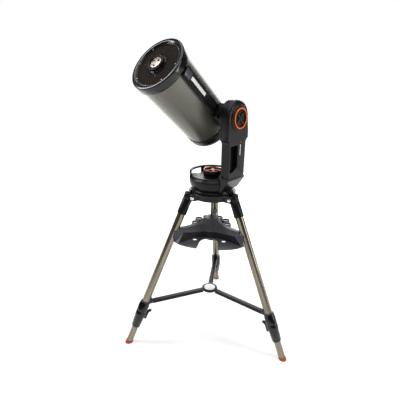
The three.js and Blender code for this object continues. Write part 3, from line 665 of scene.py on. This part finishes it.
nut_body = spun([(5.3, NUT_BOTTOM), (24, NUT_BOTTOM), (27.5, NUT_BOTTOM + 2), (NUT_R, NUT_BOTTOM + 6),
                 (NUT_R, NUT_TOP - 5), (26, NUT_TOP - 1), (18, NUT_TOP), (5.3, NUT_TOP)], 72)
nut = together(nut_body, *ring_of(NUT_RIBS, nut_rib, NUT_R))
piece("hand_nut", nut, AZIMUTH, "tray_nut", ABS_BLACK, ["tray_knob"], 0.3)
print("tray of", len(tray.data.polygons), "faces, nut with", NUT_RIBS, "ribs")

# %% [markdown]
# **Base.** A fixed flange sits on the head, and the drum above it turns with the arm. The drum,
# the handle and the two halves of the arm are castings and mouldings with flats and steps, so
# their CAD surfaces are kept and their edges rounded. The round head of the arm is softer than the
# rest, so its outer edge gets a wider round of its own. A pale window for the charge level is set
# in the cover, below the status light.
# %% Base and arm castings
ARM_OUT, HEAD_FROM, HEAD_ROUND = 137, 1044, 15
HEAD_TOLERANCE, SHOULDER_FROM, CROWN_FROM, RIM_FROM = 0.3, 60, 30, 68
flange = spun([(0, 780.3), (101.5, 780.3), (103, 781.8), (103, 786), (101.5, 788.5), (99, 790),
               (98, 793.4), (22, 793.4), (20, 840), (0, 840)], 128)
piece("turntable_flange", flange, AZIMUTH, "tripod", POWDER_BLACK, ["base_flange"], 0.4)
dressed("base_housing", ABS_BLACK, 2.0)
dressed("carry_handle", ABS_BLACK, 2.2)
dressed("fork_arm", POWDER_BLACK, 2.5)
cover_skin = dressed("arm_cover", ABS_BLACK, 1.2)
dressed("status_light", TRIM_ORANGE, 0.3)


def on_head_rim(*ends):
    # the outer edge of the round head and of the block under it, on the face towards the knob
    for end in ends:
        across, rise = abs(end.y - axis_y), end.z - altitude_z
        on_face = abs(end.x - axis_x - ARM_OUT * MM) < HEAD_TOLERANCE * MM and end.z > HEAD_FROM * MM
        at_side_or_top = across > SHOULDER_FROM * MM or rise > CROWN_FROM * MM
        if not (on_face and at_side_or_top and math.hypot(across, max(0, rise)) > RIM_FROM * MM):
            return False
    return True


widely_rounded(cover_skin, on_head_rim, HEAD_ROUND, 6)
window = slab((ARM_OUT - 0.6, ARM_OUT + 0.9), (16.6, 21.4), (968, 1016), 0.5)
piece("level_window", window, AZIMUTH, "azimuth_turret", LABEL_WHITE)

# %% [markdown]
# **Clutch knobs.** Both axes carry the same knob: a black drum with fine ribs, an orange ring let
# into its rim, and a dished face with four lobes to grip. The ring is a separate moulding pressed
# into the rim, so it is a piece of its own that rides with the knob.
# %% Clutch knobs
DECK = 856
DRUM_R, STEM_R, DISH_DEPTH, KNOB_RIBS = 44.6, 7, 8, 60


def knob_drum(low, high, stem):
    def knob_rib():
        return slab((-0.9, 0.9), (-1.1, 1.1), (low + 1.5, high - 4.5), 0.5)

    dish = high - DISH_DEPTH
    drum = spun([(0, stem), (STEM_R, stem), (STEM_R, low), (DRUM_R - 1, low), (DRUM_R, low + 1),
                 (DRUM_R, high - 4), (43.2, high - 3), (38.6, high - 3), (37.4, dish), (0, dish)])
    return together(drum, *ring_of(KNOB_RIBS, knob_rib, DRUM_R - 0.1))


def knob_ring(high):
    return spun([(39.4, high - 3.2), (44.9, high - 3.2), (45.4, high - 1.8), (44.6, high - 0.5),
                 (42.6, high), (40.6, high - 0.3), (39.4, high - 1.4)])


def knob_star(high):
    # four rounded lobes round a low boss
    low = high - DISH_DEPTH - 0.5

    def lobe():
        return slab((8, 33), (-6.5, 6.5), (low, high - 2.6), 3.2)

    boss = spun([(0, low), (13, low), (13, high - 4.2), (11, high - 2.2), (0, high - 1.8)], 64)
    return together(boss, *ring_of(4, lobe, 0, math.pi / 4))


def knob(name, place, body, node, low, high, stem):
    piece(f"{name}_drum", knob_drum(low, high, stem), place, body, ABS_BLACK, [node], 0.3)
    piece(f"{name}_ring", knob_ring(high), place, body, TRIM_ORANGE)
    piece(f"{name}_grip", knob_star(high), place, body, ABS_BLACK)


ON_DECK = AZIMUTH @ Matrix.Translation((0, 0, DECK * MM))
ON_ARM = ALTITUDE_AXIS @ Matrix.Translation((ARM_OUT * MM, 0, 0)) @ Matrix.Rotation(math.pi / 2, 4, "Y")
knob("azimuth_clutch_knob", ON_DECK, "azimuth_clutch", "azimuth_knob", 0.3, 26, -12)
knob("altitude_clutch_knob", ON_ARM, "altitude_clutch", "altitude_knob", 0.3, 11.5, -14.5)
print("two clutch knobs with", KNOB_RIBS, "ribs each")

# %% [markdown]
# **Optical tube.** The long tube is spun as a thin ring, lacquered outside and flat black inside,
# as every telescope tube is. The bezel in front holds the corrector plate, which carries the
# secondary mirror's housing in a hole at its middle.
# %% Tube, bezel and corrector
TUBE_R, TUBE_BORE, TUBE_FROM, TUBE_TO = 116, 114, -58.2, 312
FACE, BEZEL_BACK, BEZEL_R, APERTURE_R = 338.6, 300, 125.5, 104.6
GLASS_LOW, GLASS_HIGH = 325, 331
CELL_FRONT = -58.5
ROUND_SIDES = 160
WHOLE = "tube_assembly"
barrel = spun([(TUBE_BORE, TUBE_FROM), (TUBE_R, TUBE_FROM), (TUBE_R, TUBE_TO), (TUBE_BORE, TUBE_TO)],
              ROUND_SIDES)
barrel = piece("tube_barrel", barrel, TUBE, WHOLE, LACQUER, ["optical_tube"])
barrel.data.materials.append(FLOCK_BLACK)
tube_axis = TUBE.to_3x3() @ Vector((0, 0, 1))
for face in barrel.data.polygons:
    spoke = face.center - TUBE.translation
    outward = spoke - tube_axis * spoke.dot(tube_axis)
    outside = face.normal.dot(outward) > 0 and outward.length > (TUBE_R - 1) * MM
    face.material_index = 0 if outside else 1

bezel = spun([(116.3, BEZEL_BACK), (122, BEZEL_BACK), (124.6, BEZEL_BACK + 1.2), (BEZEL_R, BEZEL_BACK + 4),
              (BEZEL_R, FACE - 7), (124.9, FACE - 3.6), (123, FACE - 1.2), (120, FACE), (111, FACE),
              (108.6, FACE - 0.8), (106, FACE - 3.4), (104.9, FACE - 4.2), (APERTURE_R, FACE - 6),
              (APERTURE_R, GLASS_LOW - 0.3), (99, GLASS_LOW - 0.3), (99, 318), (116.3, 313)], ROUND_SIDES)
piece("front_ring", bezel, TUBE, WHOLE, ABS_GLOSS, ["front_bezel"])
RETAINER_R = APERTURE_R - 0.2
retainer = spun([(100.5, 331.3), (RETAINER_R, 331.3), (RETAINER_R, 333), (102, 333.6), (100.5, 332.6)],
                ROUND_SIDES)
piece("retaining_ring", retainer, TUBE, WHOLE, POWDER_BLACK)


def small_screw():
    return spun([(0, 332.4), (1.9, 332.4), (1.9, 334.2), (1.4, 334.8), (0, 334.8)], 20)


small_screws = together(*ring_of(8, small_screw, 102.3))
piece("retaining_screws", small_screws, TUBE, WHOLE, PLAIN_STEEL)
plate = spun([(36.6, GLASS_LOW), (104.2, GLASS_LOW), (104.2, GLASS_HIGH), (36.6, GLASS_HIGH)], ROUND_SIDES)
piece("corrector_glass", plate, TUBE, WHOLE, CORRECTOR, ["corrector_plate"])
kept("primary_mirror", MIRROR)
kept("secondary_mirror", MIRROR)
print("tube", 2 * TUBE_R, "mm across, clear opening", round(2 * APERTURE_R), "mm")

# %% [markdown]
# The housing of the secondary mirror is a black cup with a raised lip, and a polished warm metal
# cover fills it. Three dark screws hold the cover and set the mirror's tilt.
# %% Secondary housing and cover
CUP_TOP, CAP_R = 347, 25.5
housing = spun([(0, 314), (36, 314), (36, 331.3), (41, 331.3), (41, 333.4), (40.4, 334.4), (39, 334.8),
                (38.2, CUP_TOP - 3), (37.8, CUP_TOP - 1), (36.8, CUP_TOP), (35.6, CUP_TOP),
                (34.6, CUP_TOP - 1), (34, CUP_TOP - 4), (0, CUP_TOP - 4)])
piece("secondary_cup", housing, TUBE, WHOLE, ABS_GLOSS, ["secondary_housing"])
cover = spun([(0, 343.2), (CAP_R, 343.2), (CAP_R, 344), (CAP_R - 0.9, 344.8), (20, 345.2), (12, 345.6),
              (0, 345.8)])
piece("secondary_cap", cover, TUBE, WHOLE, COVER_METAL, ["secondary_cover"])


def cap_screw():
    return spun([(0, 343.5), (4.8, 343.5), (4.8, 346.2), (3.8, CUP_TOP), (1.8, CUP_TOP), (1.8, 345.8),
                 (0, 345.8)], 40)


cap_screws = together(*ring_of(3, cap_screw, 16, math.radians(35)))
piece("collimation_screws", cap_screws, TUBE, WHOLE, ABS_GLOSS)
print("secondary cover", 2 * CAP_R, "mm across")

# %% [markdown]
# The rear cell is a casting with a rounded back edge. Behind it come the focus knob, the threaded
# visual back, the diagonal and the eyepiece, which the arm hides from the front.
# %% Rear cell and what hangs on it
CELL_R, PORT_BORE, CELL_BACK = 118, 16.2, -117
cell = spun([(PORT_BORE, -123), (43, -123), (45, -121.5), (48, CELL_BACK), (94, CELL_BACK), (100, -115.6),
             (106, -112.2), (112, -106), (116, -98.6), (CELL_R, -90), (CELL_R, -64), (117, -62.6),
             (117, -60.4), (CELL_R, -59.4), (CELL_R, CELL_FRONT), (112, CELL_FRONT), (112, -87), (100, -108),
             (PORT_BORE, -108)], ROUND_SIDES)
piece("rear_casting", cell, TUBE, WHOLE, ABS_BLACK, ["rear_cell"])


def cell_screw():
    return spun([(0, -118.6), (2.2, -118.6), (3.2, -118), (3.2, -116.5), (0, -116.5)], 24)


cell_screws = together(*ring_of(6, cell_screw, 84, math.radians(10)))
piece("cell_screws", cell_screws, TUBE, WHOLE, PLAIN_STEEL)
FOCUS_R, FOCUS_ACROSS, FOCUS_UP, FOCUS_BACK = 13.5, 46, 64, 5.5
focus = spun([(0, -153), (11, -153), (13.2, -151.5), (FOCUS_R, -149), (FOCUS_R, -128), (12, -126),
              (12, -123), (0, -123)], 64)


def focus_rib():
    return slab((-0.7, 0.7), (-0.8, 0.8), (-149, -129), 0.4)


focus = together(focus, *ring_of(24, focus_rib, FOCUS_R - 0.2))
focus = shifted(focus, FOCUS_ACROSS, FOCUS_UP, FOCUS_BACK)
piece("focus_wheel", focus, TUBE, "focuser", ABS_BLACK, ["focus_knob"])
visual = spun([(PORT_BORE, -151), (19, -151), (20, -150), (20, -137), (24, -135.5), (25, -134.5),
               (25, -124.5), (24, -123.4), (PORT_BORE, -123.4)])
piece("visual_back_ring", visual, TUBE, WHOLE, BRIGHT_STEEL, ["visual_back"])
dressed("star_diagonal", ABS_GLOSS, 1.2)
OCULAR_BACK = -174
ocular = spun([(0, 22), (15.4, 22), (15.6, 22.4), (15.6, 46.3), (20, 46.3), (21, 47.4), (21, 64),
               (20.4, 66), (19, 68), (18.4, 84), (17, 88), (14.6, 90), (9, 88.5), (0, 86.5)])
ocular = shifted(moved(ocular, Matrix.Rotation(-math.pi / 2, 4, "X")), 0, 0, OCULAR_BACK)
piece("eyepiece_barrel", ocular, TUBE, "diagonal", ABS_BLACK, ["eyepiece"])
print("rear cell", 2 * CELL_R, "mm across, with focus knob, port, diagonal and eyepiece")

# %% [markdown]
# The dovetail rail runs down the tube's arm side and the saddle grips it. Two blank labels lie on
# the rail: a grey one by the bezel and a long white one below it.
# %% Rail, saddle and labels
dressed("dovetail_rail", POWDER_BLACK, 1.0)
dressed("saddle", POWDER_BLACK, 1.6)
kept("altitude_shaft", PLAIN_STEEL)
RAIL_TOP = 42
labels = {"grey_plate": ((-16, 16), (262, 296), LABEL_GREY),
          "white_strip": ((-7.5, 7.5), (150, 256), LABEL_WHITE)}
for name, (across, along, material) in labels.items():
    label = slab((RAIL_TOP - 0.2, RAIL_TOP + 0.9), across, along, 0.4)
    piece(name, label, TIPPED, WHOLE, material)


def grip_lobe():
    return slab((-2.6, 2.6), (-2.6, 2.6), (38, 50), 1.6)


CLAMP_SCREW = Vector((50, -12, -36))
grip = spun([(0, 0), (4, 0), (4, 34.5), (11, 34.5), (12.6, 36), (12.8, 49), (11, 51), (0, 51)], 48)
grip = together(grip, *ring_of(8, grip_lobe, 12.2))
grip = shifted(moved(grip, UPRIGHT_TO_SIDE), *CLAMP_SCREW)
piece("clamp_hand_knob", grip, TIPPED, "saddle_clamp", ABS_BLACK, ["saddle_knob"], 0.3)
print("rail with", len(labels), "blank labels, saddle and its clamp knob")

# %% [markdown]
# What is shut inside still gets its finish: the drives, the battery, the baffle and the carrier.
# %% Hidden pieces
for node in ("azimuth_worm_motor", "altitude_worm_motor"):
    kept(node, PLAIN_STEEL)
for node in ("azimuth_wheel", "altitude_wheel"):
    kept(node, BRONZE)
kept("battery_pack", ABS_BLACK)
for node in ("baffle_tube", "mirror_carrier"):
    kept(node, FLOCK_BLACK)
print("drives, battery, baffle and carrier finished as they are")

# %% [markdown]
# **Studio.** A white floor, a broad soft light from above and three soft boxes at the sides, which
# draw the long bright edges down the tube and the legs. The floor glows more and more away from the
# object, so it ends in pure white, and close by it stays dim enough to show a soft shadow. The world
# is white to the eye and faint as a light, which keeps the black parts black.
# %% Floor and lights
FLOOR_HALF = 12
GLOW_FROM, GLOW_TO, NEAR_GLOW = 0.9, 2.6, 0.24
WORLD_LIGHT = 0.09
floor_shape = bmesh.new()
bmesh.ops.create_grid(floor_shape, x_segments=1, y_segments=1, size=FLOOR_HALF)
floor_mesh = bpy.data.meshes.new("studio_floor")
floor_shape.to_mesh(floor_mesh)
floor_shape.free()
floor = bpy.data.objects.new("studio_floor", floor_mesh)
bpy.context.scene.collection.objects.link(floor)
paper = grained("paper_white", "#f4f4f4", "#f8f8f8", 0.8, 2.0, 0.05, 0.2)
sheet = paper.node_tree
spread = add(sheet, "ShaderNodeVectorMath", {1: (1, 1, 0)}, {0: world_place(sheet)}, operation="MULTIPLY")
far = add(sheet, "ShaderNodeVectorMath", None, {0: (spread, "Vector")}, operation="LENGTH")
glow = add(sheet, "ShaderNodeMapRange", {"From Min": GLOW_FROM, "From Max": GLOW_TO, "To Min": NEAR_GLOW,
                                         "To Max": 1.0}, {"Value": (far, "Value")})
lit = sheet.nodes["Principled BSDF"]
lit.inputs["Emission Color"].default_value = (1, 1, 1, 1)
sheet.links.new(glow.outputs["Result"], lit.inputs["Emission Strength"])
floor_mesh.materials.append(paper)

world = bpy.data.worlds.new("studio")
bpy.context.scene.world = world
world.use_nodes = True
sky = world.node_tree
seen = sky.nodes["Background"]
seen.inputs["Color"].default_value = (1, 1, 1, 1)
seen.inputs["Strength"].default_value = 1.0
felt = add(sky, "ShaderNodeBackground", {"Color": (1, 1, 1, 1), "Strength": WORLD_LIGHT})
eye = add(sky, "ShaderNodeLightPath")
both = add(sky, "ShaderNodeMixShader", None, {"Fac": (eye, "Is Camera Ray"), 1: (felt, "Background"),
                                              2: (seen, "Background")})
sky.links.new(both.outputs["Shader"], sky.nodes["World Output"].inputs["Surface"])


def soft_box(name, place, target, size, power):
    data = bpy.data.lights.new(name, "AREA")
    data.shape = "RECTANGLE"
    data.size, data.size_y = size
    data.energy = power
    lamp = bpy.data.objects.new(name, data)
    lamp.visible_camera = False
    bpy.context.scene.collection.objects.link(lamp)
    lamp.location = place
    lamp.rotation_euler = (Vector(target) - Vector(place)).to_track_quat("-Z", "Y").to_euler()


soft_box("top_box", (0.0, -0.4, 3.4), (0, 0, 0.6), (3.4, 3.4), 80)
soft_box("left_box", (-2.0, -1.3, 2.5), (0, 0, 1.1), (0.6, 2.0), 50)
soft_box("back_box", (-1.6, 2.6, 1.5), (0, 0, 0.9), (2.6, 2.2), 62)
soft_box("right_box", (2.3, 0.9, 1.6), (0, 0, 0.9), (0.6, 2.2), 30)
bpy.context.scene.view_settings.view_transform = "Standard"
print("floor, world and four soft lights")
